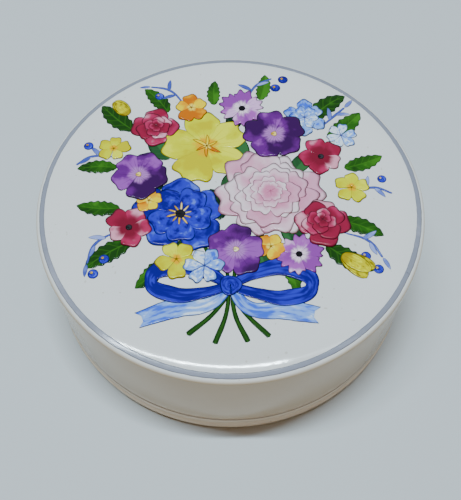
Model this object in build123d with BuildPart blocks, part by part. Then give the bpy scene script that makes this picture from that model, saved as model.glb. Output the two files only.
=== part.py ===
"""Round glazed porcelain powder box, with a drum sifter, loose powder and a powder puff inside it.

The lid is a deep cap. It slides down over the tall collar of a low base and stands on the
base's ledge, close above the foot. The sifter drum stands on the floor of the well round the
powder, and the puff lies on its gauze.

Millimetres, +Z up. The origin is the centre of the foot ring's underside.
"""
from build123d import *
import os
from math import cos, radians, sin, tan

os.makedirs("parts", exist_ok=True)

# ---- Driving dimensions -----------------------------------------------------------------
# The outside of the box
skirt_radius = 55.0
box_height = 39.2
ledge_height = 7.8
bead_proud = 0.25

# Porcelain walls
lid_wall = 3.2
lid_top = 3.4
collar_wall = 2.8
base_floor = 3.2

# The lid's edge: a slow shoulder, a narrow sloping land for the painted line, a tight rim
shoulder_arc = 30.0
shoulder_fall = 11.5
painted_land = 1.3
rim_rounding = 1.35
edge_rounding = 0.6
lid_inner_corner = 2.5

# The base
collar_lip = 0.9
ledge_fillet = 0.5
well_corner = 1.0
groove_drop = 3.2
groove_depth = 0.35
groove_half_width = 0.4
groove_softness = 0.12
bead_drop = 1.4
bead_shoulder = 0.8
bead_rounding = 1.4
foot_height = 0.8
foot_inset = 7.5
foot_width = 3.0
foot_rounding = 0.3

# The sifter drum
hoop_wall = 1.5
hoop_height = 9.2
ring_wall = 1.6
ring_depth = 4.6
ring_lip = 0.6
drum_rounding = 0.25
gauze_thickness = 0.3

# The powder
powder_depth = 4.0
powder_edge = 1.5

# The puff
pile_depth = 6.8
pile_crown = 3.0
pile_shoulder = 1.0
card_thickness = 0.8
card_edge = 0.2
cover_thickness = 0.5
cover_edge = 0.45
ribbon_width = 16.0
ribbon_thickness = 0.5
ribbon_end = 7.0
ribbon_slope = 7.0
ribbon_span = 26.0
ribbon_rise = 5.4
ribbon_bend = 3.0

# ---- Clearances -------------------------------------------------------------------------
lid_to_ledge = 0.4
lid_to_collar = 0.7
lid_over_collar = 5.2
rest_gap = 0.3
drum_to_well = 1.2
powder_to_hoop = 0.4
ring_to_hoop = 0.05
puff_to_ring = 0.8
card_to_cover = 0.1
card_to_pile_edge = 0.4

# ---- Sizes worked out from them ---------------------------------------------------------
lid_foot = ledge_height + lid_to_ledge
lid_bore = skirt_radius - lid_wall
lid_underside = box_height - lid_top
collar_radius = lid_bore - lid_to_collar
collar_top = lid_underside - lid_over_collar
well_radius = collar_radius - collar_wall
well_floor = foot_height + base_floor
foot_radius = skirt_radius - foot_inset

drum_seat = well_floor + rest_gap
ring_radius = well_radius - drum_to_well
ring_bore = ring_radius - ring_wall
hoop_radius = ring_bore - ring_to_hoop
hoop_bore = hoop_radius - hoop_wall
hoop_top = drum_seat + hoop_height
gauze_top = hoop_top + gauze_thickness
ring_top = gauze_top + ring_lip

pile_radius = hoop_bore - puff_to_ring
pile_seat = gauze_top + rest_gap
pile_top = pile_seat + pile_depth
card_radius = pile_radius - pile_shoulder - card_to_pile_edge
card_top = pile_top + card_thickness
cover_bore = card_radius + card_to_cover
cover_radius = cover_bore + cover_thickness
cover_top = card_top + cover_thickness


def turned(outline):
    """Turn a half-section about the upright axis. Each corner is its radius, height and rounding."""
    corners = [(radius, height) for radius, height, rounding in outline]
    roundings = [rounding for radius, height, rounding in outline]
    with BuildSketch(Plane.XZ) as half_section:
        with BuildLine():
            FilletPolyline(*corners, radius=roundings, close=True)
        make_face()
    revolve(half_section.sketch, axis=Axis.Z)


# ---- Lid: one porcelain cap -------------------------------------------------------------
fall = radians(shoulder_fall)
shoulder_reach = shoulder_arc * tan(fall / 2) * cos(fall)
shoulder_corner = skirt_radius - rim_rounding * (1 - sin(fall)) - painted_land - shoulder_reach
rim_height = box_height - (skirt_radius - shoulder_corner) * tan(fall)

with BuildPart() as lid:
    turned([
        (0, box_height, 0),
        (shoulder_corner, box_height, shoulder_arc),
        (skirt_radius, rim_height, rim_rounding),
        (skirt_radius, lid_foot, edge_rounding),
        (lid_bore, lid_foot, edge_rounding),
        (lid_bore, lid_underside, lid_inner_corner),
        (0, lid_underside, 0),
    ])

# ---- Base: foot ring, beaded wall, ledge and the collar the lid slides over --------------
bead_radius = skirt_radius + bead_proud
groove_height = ledge_height - groove_drop

with BuildPart() as base:
    turned([
        (0, well_floor, 0),
        (well_radius, well_floor, well_corner),
        (well_radius, collar_top, collar_lip),
        (collar_radius, collar_top, collar_lip),
        (collar_radius, ledge_height, ledge_fillet),
        (skirt_radius, ledge_height, edge_rounding),
        (skirt_radius, groove_height + groove_half_width, groove_softness),
        (skirt_radius - groove_depth, groove_height, groove_softness),
        (bead_radius, groove_height - bead_drop, bead_shoulder),
        (bead_radius, foot_height, bead_rounding),
        (foot_radius, foot_height, foot_rounding),
        (foot_radius, 0, foot_rounding),
        (foot_radius - foot_width, 0, foot_rounding),
        (foot_radius - foot_width, foot_height, foot_rounding),
        (0, foot_height, 0),
    ])

# ---- Powder: a loose bed on the floor of the well, inside the drum ------------------------
with BuildPart() as powder:
    with BuildSketch(Plane.XY.offset(well_floor)):
        Circle(hoop_bore - powder_to_hoop)
    extrude(amount=powder_depth)
    fillet(powder.edges().group_by(Axis.Z)[-1], radius=powder_edge)

# ---- Sifter drum: hoop, the gauze laid over it, and the lipped ring that clamps the gauze ---
with BuildPart() as sifter_hoop:
    with BuildSketch(Plane.XY.offset(drum_seat)):
        Circle(hoop_radius)
        Circle(hoop_bore, mode=Mode.SUBTRACT)
    extrude(amount=hoop_height)
    fillet(sifter_hoop.edges().group_by(Axis.Z)[0], radius=drum_rounding)

with BuildPart() as sifter_gauze:
    with BuildSketch(Plane.XY.offset(hoop_top)):
        Circle(hoop_radius)
    extrude(amount=gauze_thickness)

with BuildPart() as sifter_ring:
    turned([
        (hoop_bore, gauze_top, 0),
        (hoop_bore, ring_top, drum_rounding),
        (ring_radius, ring_top, drum_rounding),
        (ring_radius, ring_top - ring_depth, drum_rounding),
        (ring_bore, ring_top - ring_depth, drum_rounding),
        (ring_bore, gauze_top, 0),
    ])

# ---- Puff: pile pad, stiffening card, satin cover and the ribbon over its back -----------
with BuildPart() as puff_pile:
    with BuildSketch(Plane.XY.offset(pile_seat)):
        Circle(pile_radius)
    extrude(amount=pile_depth)
    fillet(puff_pile.edges().group_by(Axis.Z)[0], radius=pile_crown)
    fillet(puff_pile.edges().group_by(Axis.Z)[-1], radius=pile_shoulder)

with BuildPart() as puff_card:
    with BuildSketch(Plane.XY.offset(pile_top)):
        Circle(card_radius)
    extrude(amount=card_thickness)
    fillet(puff_card.edges().group_by(Axis.Z)[-1], radius=card_edge)

with BuildPart() as puff_cover:
    turned([
        (0, cover_top, 0),
        (cover_radius, cover_top, cover_edge),
        (cover_radius, pile_top, 0),
        (cover_bore, pile_top, 0),
        (cover_bore, card_top, 0),
        (0, card_top, 0),
    ])

half_span = ribbon_span / 2
slope_foot = half_span + ribbon_slope
ribbon_tip = slope_foot + ribbon_end
ribbon_crest = cover_top + ribbon_rise

with BuildPart() as puff_ribbon:
    with BuildSketch(Plane.YZ):
        with BuildLine():
            FilletPolyline(
                (-ribbon_tip, cover_top),
                (-slope_foot, cover_top),
                (-half_span, ribbon_crest),
                (half_span, ribbon_crest),
                (slope_foot, cover_top),
                (ribbon_tip, cover_top),
                radius=ribbon_bend,
            )
            offset(amount=ribbon_thickness, side=Side.LEFT)
        make_face()
    extrude(amount=ribbon_width / 2, both=True)

# ---- One labelled solid and one file for each piece --------------------------------------
pieces = {
    "lid": lid,
    "base": base,
    "powder": powder,
    "sifter_hoop": sifter_hoop,
    "sifter_ring": sifter_ring,
    "sifter_gauze": sifter_gauze,
    "puff_pile": puff_pile,
    "puff_card": puff_card,
    "puff_cover": puff_cover,
    "puff_ribbon": puff_ribbon,
}
for name, piece in pieces.items():
    piece.part.label = name
    export_step(piece.part, f"parts/{name}.step")
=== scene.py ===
"""Looks for the round porcelain powder box: glazed lid and base, painted line, printed flowers,
and the powder, sifter drum and puff inside. Metres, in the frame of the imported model."""

from math import cos, pi, radians, sin, tan

import bpy
from mathutils import Matrix, Vector


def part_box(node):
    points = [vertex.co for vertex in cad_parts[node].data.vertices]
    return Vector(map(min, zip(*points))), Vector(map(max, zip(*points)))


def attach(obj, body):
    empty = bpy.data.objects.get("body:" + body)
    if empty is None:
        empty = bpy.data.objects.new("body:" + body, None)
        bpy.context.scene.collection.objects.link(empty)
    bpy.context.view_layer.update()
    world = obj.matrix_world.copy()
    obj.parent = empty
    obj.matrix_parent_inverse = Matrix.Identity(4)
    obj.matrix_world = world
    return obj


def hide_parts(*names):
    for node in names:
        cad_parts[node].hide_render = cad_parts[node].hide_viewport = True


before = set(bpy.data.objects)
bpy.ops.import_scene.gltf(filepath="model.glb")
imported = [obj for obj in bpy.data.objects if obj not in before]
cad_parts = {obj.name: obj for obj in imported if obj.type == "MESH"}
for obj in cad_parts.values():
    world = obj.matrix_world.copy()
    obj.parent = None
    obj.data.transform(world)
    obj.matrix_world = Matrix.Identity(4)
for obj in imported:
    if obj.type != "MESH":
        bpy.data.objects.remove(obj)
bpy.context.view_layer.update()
mm = 0.001


# ==== Base =================================================================================
# The lower half of the box: a porcelain dish turned and fired in one piece, with a beaded
# wall, a ledge for the lid, a tall collar inside it and an unglazed foot ring. Its section is
# drawn once as corners with roundings and swept round the upright axis.

class Wire:
    """A socket of a node tree. Arithmetic on wires adds the Math nodes that work it out."""

    def __init__(self, socket):
        self.socket = socket
        self.tree = socket.id_data

    def math(self, operation, *others):
        step = self.tree.nodes.new("ShaderNodeMath")
        step.operation = operation
        for port, value in zip(step.inputs, (self, *others)):
            plug(value, port)
        return Wire(step.outputs[0])

    def __add__(self, other):
        return self.math("ADD", other)

    def __radd__(self, other):
        return self.math("ADD", other)

    def __sub__(self, other):
        return self.math("SUBTRACT", other)

    def __rsub__(self, other):
        return (self * -1.0).math("ADD", other)

    def __mul__(self, other):
        return self.math("MULTIPLY", other)

    def __rmul__(self, other):
        return self.math("MULTIPLY", other)

    def __truediv__(self, other):
        return self.math("DIVIDE", other)

    def __pow__(self, other):
        return self.math("POWER", other)

    def __abs__(self):
        return self.math("ABSOLUTE")

    def ramp(self, start, end, low=0.0, high=1.0):
        """Rise smoothly from low to high as the wire goes from start to end."""
        step = self.tree.nodes.new("ShaderNodeMapRange")
        step.interpolation_type = "SMOOTHSTEP"
        for port, value in zip(step.inputs, (self, start, end, low, high)):
            plug(value, port)
        return Wire(step.outputs[0])


def plug(value, port):
    """Link a wire to an input, or set the input to a plain value."""
    if isinstance(value, Wire):
        port.id_data.links.new(value.socket, port)
    else:
        port.default_value = value


def step(tree, kind, inputs=None, output=0, **settings):
    """Add a node, set it and its inputs, and return one of its outputs as a wire."""
    added = tree.nodes.new(kind)
    for setting, value in settings.items():
        setattr(added, setting, value)
    for name, value in (inputs or {}).items():
        plug(value, added.inputs[name])
    return Wire(added.outputs[output])


def place(tree, x, y, z):
    return step(tree, "ShaderNodeCombineXYZ", {"X": x, "Y": y, "Z": z})


def split(tree, vector):
    parts = tree.nodes.new("ShaderNodeSeparateXYZ")
    plug(vector, parts.inputs[0])
    return [Wire(out) for out in parts.outputs]


def shape_tree(name, **sizes):
    """A Geometry Nodes tree with named inputs: whole numbers, sizes and one material."""
    tree = bpy.data.node_groups.new(name, "GeometryNodeTree")
    tree.interface.new_socket("Geometry", in_out="INPUT", socket_type="NodeSocketGeometry")
    tree.interface.new_socket("Geometry", in_out="OUTPUT", socket_type="NodeSocketGeometry")
    for size, kind in sizes.items():
        tree.interface.new_socket(size, in_out="INPUT", socket_type="NodeSocket" + kind)
    tree.interface.new_socket("Finish", in_out="INPUT", socket_type="NodeSocketMaterial")
    opening = tree.nodes.new("NodeGroupInput")
    return tree, {out.name: Wire(out) for out in opening.outputs if out.name}


def close_tree(tree, shape, finish):
    """End a tree: instances made real, smooth shading, the material set."""
    real = step(tree, "GeometryNodeRealizeInstances", {"Geometry": shape})
    smooth = step(tree, "GeometryNodeSetShadeSmooth", {"Geometry": real, "Shade Smooth": True})
    ready = step(tree, "GeometryNodeSetMaterial", {"Geometry": smooth, "Material": finish})
    plug(ready, tree.nodes.new("NodeGroupOutput").inputs[0])


def shaped(name, start, tree, **sizes):
    """Run a tree on a starting mesh or curve and keep its result as a plain mesh object."""
    seed = bpy.data.objects.new(name + "_start", start)
    bpy.context.scene.collection.objects.link(seed)
    maker = seed.modifiers.new("shape", "NODES")
    maker.node_group = tree
    for item in tree.interface.items_tree:
        if item.in_out == "INPUT" and item.name in sizes:
            maker[item.identifier] = sizes[item.name]
    ready = seed.evaluated_get(bpy.context.evaluated_depsgraph_get())
    piece = bpy.data.objects.new(name, bpy.data.meshes.new_from_object(ready))
    bpy.data.objects.remove(seed)
    bpy.context.scene.collection.objects.link(piece)
    return piece


def seated(piece, body, node=None):
    """Tie a finished piece to its body, and hide the CAD piece that it takes over from."""
    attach(piece, body)
    if node:
        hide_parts(node)
    return piece


def rounded(corners, steps=7):
    """Points of a closed half-section. Each corner is its radius, height and rounding, in mm."""
    points = []
    for i, (x, z, rounding) in enumerate(corners):
        here = Vector((x, z))
        if rounding == 0:
            points.append(here)
            continue
        back = (Vector(corners[i - 1][:2]) - here).normalized()
        ahead = (Vector(corners[(i + 1) % len(corners)][:2]) - here).normalized()
        half = back.angle(ahead) / 2
        centre = here + (back + ahead).normalized() * rounding / sin(half)
        first = here + back * rounding / tan(half) - centre
        turn = (pi - 2 * half) * (1 if first.cross(ahead) > 0 else -1)
        for k in range(steps + 1):
            points.append(centre + Matrix.Rotation(turn * k / steps, 2) @ first)
    return points


def section_curve(name, corners, steps=7):
    """The half-section as a closed curve: radius along x, height along -y for the sweep."""
    curve = bpy.data.curves.new(name, "CURVE")
    curve.dimensions = "3D"
    line = curve.splines.new("POLY")
    points = rounded(corners, steps)
    line.points.add(len(points) - 1)
    for knot, point in zip(line.points, points):
        knot.co = (point.x * mm, -point.y * mm, 0, 1)
    line.use_cyclic_u = True
    return curve


turning, into = shape_tree("turned_on_the_wheel", Around="Int", Hub="Float")
wheel = step(turning, "GeometryNodeCurvePrimitiveCircle",
             {"Resolution": into["Around"], "Radius": into["Hub"]})
outward = step(turning, "GeometryNodeTransform",
               {"Geometry": into["Geometry"], "Translation": place(turning, 0 - into["Hub"], 0.0, 0.0)})
swept = step(turning, "GeometryNodeCurveToMesh", {"Curve": wheel, "Profile Curve": outward})
closed = step(turning, "GeometryNodeMergeByDistance", {"Geometry": swept, "Distance": 0.002 * mm})
close_tree(turning, closed, into["Finish"])


def turned(name, corners, finish, around=288, steps=7):
    """A body of revolution from its half-section."""
    return shaped(name, section_curve(name, corners, steps), turning,
                  Around=around, Hub=0.5 * mm, Finish=finish)


def new_material(name):
    material = bpy.data.materials.new(name)
    material.use_nodes = True
    tree = material.node_tree
    shader = tree.nodes["Principled BSDF"]
    return material, tree, shader


def paint(shader, colour, roughness, normal=None):
    """Set a material's colour, roughness and fine relief."""
    plug(colour, shader.inputs["Base Color"])
    plug(roughness, shader.inputs["Roughness"])
    if normal is not None:
        plug(normal, shader.inputs["Normal"])


def blend_colour(tree, amount, first, second):
    """Mix two colours, or two wires of colour, by an amount from 0 to 1."""
    mix = tree.nodes.new("ShaderNodeMix")
    mix.data_type = "RGBA"
    for port, value in ((mix.inputs[0], amount), (mix.inputs[6], first), (mix.inputs[7], second)):
        plug(value if isinstance(value, (Wire, float)) else (*value, 1.0), port)
    return Wire(mix.outputs[2])


def speckle(tree, scale, detail=3.0, stretch=(1, 1, 1), roughness=0.5):
    """Noise on the piece's own coordinates, in cycles per metre."""
    spot = step(tree, "ShaderNodeTexCoord", output="Object")
    spread = step(tree, "ShaderNodeMapping", {"Vector": spot, "Scale": stretch})
    return step(tree, "ShaderNodeTexNoise",
                {"Vector": spread, "Scale": scale, "Detail": detail, "Roughness": roughness})


def bump(tree, height, strength, distance, normal=None):
    raised = tree.nodes.new("ShaderNodeBump")
    plug(height, raised.inputs["Height"])
    raised.inputs["Strength"].default_value = strength
    raised.inputs["Distance"].default_value = distance
    if normal is not None:
        plug(normal, raised.inputs["Normal"])
    return Wire(raised.outputs[0])


def glaze(name, crown_height, bare_bands, joint):
    """Clear glaze over white porcelain, with faint pooling and pinholes. It is whitest on the crown;
    the outer wall below has painted warm shade, tan down its height and lighter towards the foot.
    A painted dark shade lies along the joint, and the glaze is wiped off in the bare bands (low, high, inner
    radius)."""
    material, tree, shader = new_material(name)
    x, y, z = split(tree, step(tree, "ShaderNodeTexCoord", output="Object"))
    radius = (x * x + y * y) ** 0.5

    crown = z.ramp(crown_height - 1.6 * mm, crown_height - 0.4 * mm)
    # Painted warm shade on the outer wall: the tan is painted shade, not the glaze's colour, and cream
    # lightens it towards the foot as painted bounce light, with random mottle.
    cream = z.ramp(5 * mm, 13 * mm, 1.0, 0.0) * 0.95 + speckle(tree, 60, 2.0) * 0.25
    wall_with_painted_shade = blend_colour(tree, cream, (0.53, 0.41, 0.235), (0.76, 0.66, 0.50))
    inside = blend_colour(tree, speckle(tree, 60, 2.0), (0.72, 0.66, 0.55), (0.76, 0.70, 0.60))
    wall_with_painted_shade = blend_colour(tree, radius.ramp(52.6 * mm, 53.2 * mm), inside, wall_with_painted_shade)
    white = blend_colour(tree, speckle(tree, 45, 2.0), (0.76, 0.785, 0.80), (0.79, 0.815, 0.83))
    body = blend_colour(tree, crown, wall_with_painted_shade, white)
    pinholes = speckle(tree, 900, 0.0).ramp(0.80, 0.84)
    body = blend_colour(tree, pinholes * 0.35, body, (0.42, 0.36, 0.27))
    # A painted dark shade along the joint between lid and base, where the gap lies in shade.
    painted_joint_shade = abs(z - joint).ramp(0.35 * mm, 0.75 * mm, 1.0, 0.0) * radius.ramp(54 * mm, 54.5 * mm)
    body = blend_colour(tree, painted_joint_shade * 0.85, body, (0.13, 0.11, 0.10))

    bare = None
    for low, high, inner in bare_bands:
        band = z.ramp(low, low + 0.1 * mm) * z.ramp(high - 0.1 * mm, high, 1.0, 0.0)
        band = band * radius.ramp(inner, inner + 0.15 * mm)
        bare = band if bare is None else bare.math("MAXIMUM", band)
    biscuit = blend_colour(tree, speckle(tree, 2500, 2.0), (0.66, 0.60, 0.50), (0.74, 0.69, 0.60))
    ripple = speckle(tree, 420, 2.0) * 0.6 + speckle(tree, 1300, 1.0) * 0.35
    grain = bump(tree, speckle(tree, 6000, 2.0) * bare, 0.4, 0.05 * mm)
    paint(shader, blend_colour(tree, bare, body, biscuit),
          speckle(tree, 300, 2.0) * 0.05 + bare * 0.55 + 0.05,
          bump(tree, ripple, 0.45, 0.03 * mm, grain))
    shader.inputs["IOR"].default_value = 1.52
    shader.inputs["Specular IOR Level"].default_value = 0.3
    return material


base_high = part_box("base")[1] / mm
lid_low, lid_high = (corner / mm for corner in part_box("lid"))
skirt = lid_high.x                          # outside radius of the lid, in mm from here on
bead = base_high.x
joint_gap = 0.4
ledge = lid_low.z - joint_gap
lid_wall = 3.2
collar = skirt - lid_wall - 0.7
well = collar - 2.8
foot_lift = 0.8
well_floor = foot_lift + 3.2
foot = skirt - 7.5
foot_width = 3.0
groove = ledge - 3.2

joint = (ledge + joint_gap / 2) * mm
base_glaze = glaze("base_glaze", crown_height=200 * mm, joint=joint, bare_bands=[
    (-1 * mm, 0.35 * mm, 0), ((ledge - 0.25) * mm, (ledge + 0.1) * mm, collar * mm)])
base = turned("base_porcelain", [
    (0, well_floor, 0),
    (well, well_floor, 1.0),
    (well, base_high.z, 0.9),
    (collar, base_high.z, 0.9),
    (collar, ledge, 0.5),
    (skirt, ledge, 0.6),
    (skirt, groove + 0.4, 0.12),
    (skirt - 0.35, groove, 0.12),
    (bead, groove - 1.4, 0.8),
    (bead, foot_lift, 1.4),
    (foot, foot_lift, 0.3),
    (foot, 0, 0.3),
    (foot - foot_width, 0, 0.3),
    (foot - foot_width, foot_lift, 0.3),
    (0, foot_lift, 0),
], base_glaze)
seated(base, "base_body", node="base")


# ==== Powder ===============================================================================
# Loose talc tipped on the floor of the well, inside the drum. The surface is uneven, with the
# soft round dents that the puff leaves, and crumbs that have rolled off the heaps.

def attribute(tree, name):
    return step(tree, "GeometryNodeInputNamedAttribute", {"Name": name}, data_type="FLOAT")


def keep(tree, shape, **values):
    """Store values on the points of a shape under their own names."""
    for name, value in values.items():
        shape = step(tree, "GeometryNodeStoreNamedAttribute",
                     {"Geometry": shape, "Name": name, "Value": value},
                     data_type="FLOAT", domain="POINT")
    return shape


def petal_grid(tree, columns, rows):
    """A flat grid that carries across, from -1 to 1, and along, from 0 to 1. It lies face down,
    because a fan about a centre turns it over."""
    grid = step(tree, "GeometryNodeMeshGrid",
                {"Size X": 2.0, "Size Y": 1.0, "Vertices X": columns, "Vertices Y": rows})
    x, y, z = split(tree, step(tree, "GeometryNodeInputPosition"))
    over = step(tree, "GeometryNodeFlipFaces", {"Mesh": grid})
    return keep(tree, over, across=x, along=y + 0.5)


def full_width(along):
    """One along a strip and nought at its very ends, where it then closes to a point."""
    return along.ramp(0.0, 0.0002) * along.ramp(0.9998, 1.0, 1.0, 0.0)


def round_the_axis(radius, across):
    """X and y of a place on a full turn, for across from -1 to 1."""
    return radius * (across * pi).math("COSINE"), radius * (across * pi).math("SINE")


def closed_skin(tree, flat, over, under):
    """Close a grid into a shell: one copy where it shows, one turned-over copy underneath."""
    top = step(tree, "GeometryNodeSetPosition", {"Geometry": flat, "Position": over})
    bottom = step(tree, "GeometryNodeSetPosition", {"Geometry": flat, "Position": under})
    bottom = step(tree, "GeometryNodeFlipFaces", {"Mesh": bottom})
    return step(tree, "GeometryNodeMergeByDistance",
                {"Geometry": joined(tree, bottom, top), "Distance": 0.0002 * mm})


def joined(tree, *shapes):
    both = tree.nodes.new("GeometryNodeJoinGeometry")
    for shape in shapes:
        plug(shape, both.inputs[0])
    return Wire(both.outputs[0])


def noise_at(tree, spot, scale, detail=2.0):
    """Noise at a place that the tree works out, about 0 to 1."""
    return step(tree, "ShaderNodeTexNoise", {"Vector": spot, "Scale": scale, "Detail": detail})


def scattered(tree, surface, density, seed, grain, least, most, lean=0.4):
    """Instances of a grain standing on a surface, each of its own size and lean."""
    spots = tree.nodes.new("GeometryNodeDistributePointsOnFaces")
    plug(surface, spots.inputs["Mesh"])
    plug(density, spots.inputs["Density"])
    plug(seed, spots.inputs["Seed"])
    size = step(tree, "FunctionNodeRandomValue", {"Min": least, "Max": most, "Seed": seed + 1},
                output=1, data_type="FLOAT")
    placed = step(tree, "GeometryNodeInstanceOnPoints",
                  {"Points": Wire(spots.outputs["Points"]), "Instance": grain, "Scale": size,
                   "Rotation": Wire(spots.outputs["Rotation"])})
    nod = [step(tree, "FunctionNodeRandomValue", {"Min": -lean, "Max": lean, "Seed": seed + k},
                output=1, data_type="FLOAT") for k in (2, 3)]
    return step(tree, "GeometryNodeRotateInstances",
                {"Instances": placed, "Rotation": place(tree, nod[0], nod[1], 0.0)})


powder_low, powder_high = (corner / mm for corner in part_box("powder"))

heap, into = shape_tree("powder_bed", Radius="Float", Floor="Float", Depth="Float",
                        Density="Float", Seed="Int")
across, along = attribute(heap, "across"), attribute(heap, "along")
radius = into["Radius"] * along ** 0.8
x, y = round_the_axis(radius, across)
puff_prints = ((11, 7, 19), (-16, -9, 15), (-6, 22, 11))      # x, y and radius in mm
print_depth = 0.30                                            # as a share of the bed
dents = 0.0
for dent_x, dent_y, reach in puff_prints:
    away = ((x - dent_x * mm) ** 2 + (y - dent_y * mm) ** 2) ** 0.5
    dents = away.ramp(reach * 0.80 * mm, reach * mm, print_depth, 0.0) + dents
loose = noise_at(heap, place(heap, x, y, 0.0), 60.0) * 0.34 + noise_at(
    heap, place(heap, x, y, 0.0), 420.0, 3.0) * 0.08
level = into["Depth"] * (1.0 - along ** 16) ** 0.5 * (0.66 + loose - dents)
bed = closed_skin(heap, petal_grid(heap, 193, 61), place(heap, x, y, into["Floor"] + level),
                  place(heap, x, y, into["Floor"]))
crumb = step(heap, "GeometryNodeMeshIcoSphere", {"Radius": 0.5 * mm, "Subdivisions": 2})
crumbs = scattered(heap, bed, into["Density"], into["Seed"], crumb, 0.25, 0.9)
close_tree(heap, joined(heap, bed, crumbs), into["Finish"])

talc, tree, shader = new_material("talc")
grain = speckle(tree, 5000, 3.0)
mottle = grain * 0.6 + speckle(tree, 120, 2.0) * 0.4
paint(shader, blend_colour(tree, mottle, (0.68, 0.64, 0.60), (0.84, 0.81, 0.77)),
      grain * 0.1 + 0.88, bump(tree, grain, 0.5, 0.08 * mm))
shader.inputs["Sheen Weight"].default_value = 0.25
powder = shaped("loose_powder", bpy.data.meshes.new("powder_start"), heap, Radius=(powder_high.x - 0.1) * mm,
                Floor=(powder_low.z + 0.02) * mm, Depth=3.75 * mm, Density=60000.0, Seed=3,
                Finish=talc)
seated(powder, "base_body", node="powder")


# ==== Sifter drum ==========================================================================
# A hoop of rolled card with gauze stretched over its upper end, held by a lipped card ring that
# is pushed down over it. The drum stands in the well round the powder.

def card_stock(name, face, shade, fibre, edge_heights):
    """Rolled card: long fibres round the hoop, fainter lamination lines, and scuffed edges."""
    material, tree, shader = new_material(name)
    x, y, z = split(tree, step(tree, "ShaderNodeTexCoord", output="Object"))
    round_it = y.math("ARCTAN2", x)
    fibres = noise_at(tree, place(tree, round_it * 60.0, z * 9000.0, 0.0), 1.0, 3.0)
    mottled = speckle(tree, 240, 3.0)
    colour = blend_colour(tree, fibres * 0.5 + mottled * 0.5, face, shade)
    flecks = speckle(tree, 2200, 1.0).ramp(0.70, 0.76)
    colour = blend_colour(tree, flecks * 0.5, colour, fibre)
    worn = 0.0
    for height in edge_heights:
        worn = (abs(z - height) + mottled * 0.3 * mm).ramp(0.25 * mm, 0.55 * mm, 1.0, 0.0) + worn
    paint(shader, blend_colour(tree, worn.math("MINIMUM", 1.0) * 0.6, colour, fibre),
          fibres * 0.2 + 0.6, bump(tree, fibres, 0.4, 0.04 * mm))
    return material


def refinish(node, material):
    """A CAD piece keeps its shape and takes a better finish."""
    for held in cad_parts[node].material_slots:
        held.material = material


hoop_low, hoop_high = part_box("sifter_hoop")
ring_low, ring_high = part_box("sifter_ring")
refinish("sifter_hoop", card_stock("hoop_card", (0.62, 0.55, 0.43), (0.50, 0.43, 0.32),
                                   (0.74, 0.69, 0.58), (hoop_low.z, hoop_high.z)))
refinish("sifter_ring", card_stock("ring_card", (0.16, 0.22, 0.55), (0.10, 0.15, 0.45),
                                   (0.62, 0.60, 0.56), (ring_low.z, ring_high.z)))

gauze_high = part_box("sifter_gauze")[1] / mm
gauze_radius = gauze_high.x - 0.1
stretch, into = shape_tree("stretched_disc", Radius="Float", Middle="Float", Sag="Float",
                           Thick="Float")
across, along = attribute(stretch, "across"), attribute(stretch, "along")
radius = into["Radius"] * along
x, y = round_the_axis(radius, across)
level = into["Middle"] - into["Sag"] * (1.0 - along * along)
half = into["Thick"] * 0.5 * (1.0 - along ** 40)
close_tree(stretch, closed_skin(stretch, petal_grid(stretch, 121, 25),
                                place(stretch, x, y, level + half),
                                place(stretch, x, y, level - half)), into["Finish"])

gauze_weave, tree, shader = new_material("gauze_weave")
x, y, z = split(tree, step(tree, "ShaderNodeTexCoord", output="Object"))
pitch = 0.75 * mm
warp = (x * (2 * pi) / pitch + speckle(tree, 90, 1.0) * 1.5).math("COSINE")
weft = (y * (2 * pi) / pitch + speckle(tree, 90, 1.0) * 1.5).math("COSINE")
threads = warp.math("MAXIMUM", weft)
plug(threads.ramp(0.30, 0.55), shader.inputs["Alpha"])
paint(shader, blend_colour(tree, threads.ramp(0.4, 1.0), (0.55, 0.53, 0.50), (0.86, 0.85, 0.82)),
      threads * 0.1 + 0.7, bump(tree, threads, 0.8, 0.08 * mm))
gauze = shaped("sifter_gauze_cloth", bpy.data.meshes.new("gauze_start"), stretch,
               Radius=gauze_radius * mm, Middle=(gauze_high.z - 0.12) * mm, Sag=0.08 * mm,
               Thick=0.10 * mm, Finish=gauze_weave)
seated(gauze, "sifter_body", node="sifter_gauze")


# ==== Powder puff ==========================================================================
# A round pad of cotton pile glued to a card, under a satin cover that is gathered over the
# card's edge and stitched, with a ribbon sewn across the back for the fingers.

pile_low, pile_high = (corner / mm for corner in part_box("puff_pile"))
tuft_length = 1.7
pad_radius = pile_high.x - tuft_length * 0.85
pile, into = shape_tree("tufted_pad", Density="Float", Length="Float", Thick="Float", Seed="Int")
wheel = step(pile, "GeometryNodeCurvePrimitiveCircle", {"Resolution": 96, "Radius": 0.5 * mm})
outline = step(pile, "GeometryNodeTransform",
               {"Geometry": into["Geometry"], "Translation": (-0.5 * mm, 0, 0)})
pad = step(pile, "GeometryNodeCurveToMesh", {"Curve": wheel, "Profile Curve": outline})
pad = step(pile, "GeometryNodeMergeByDistance", {"Geometry": pad, "Distance": 0.002 * mm})
tuft = step(pile, "GeometryNodeMeshCone", {"Vertices": 4, "Side Segments": 1,
                                           "Radius Top": into["Thick"] * 0.12,
                                           "Radius Bottom": into["Thick"], "Depth": into["Length"]})
tufts = scattered(pile, pad, into["Density"], into["Seed"], tuft, 0.6, 1.0, lean=0.55)
close_tree(pile, joined(pile, pad, tufts), into["Finish"])

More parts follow.
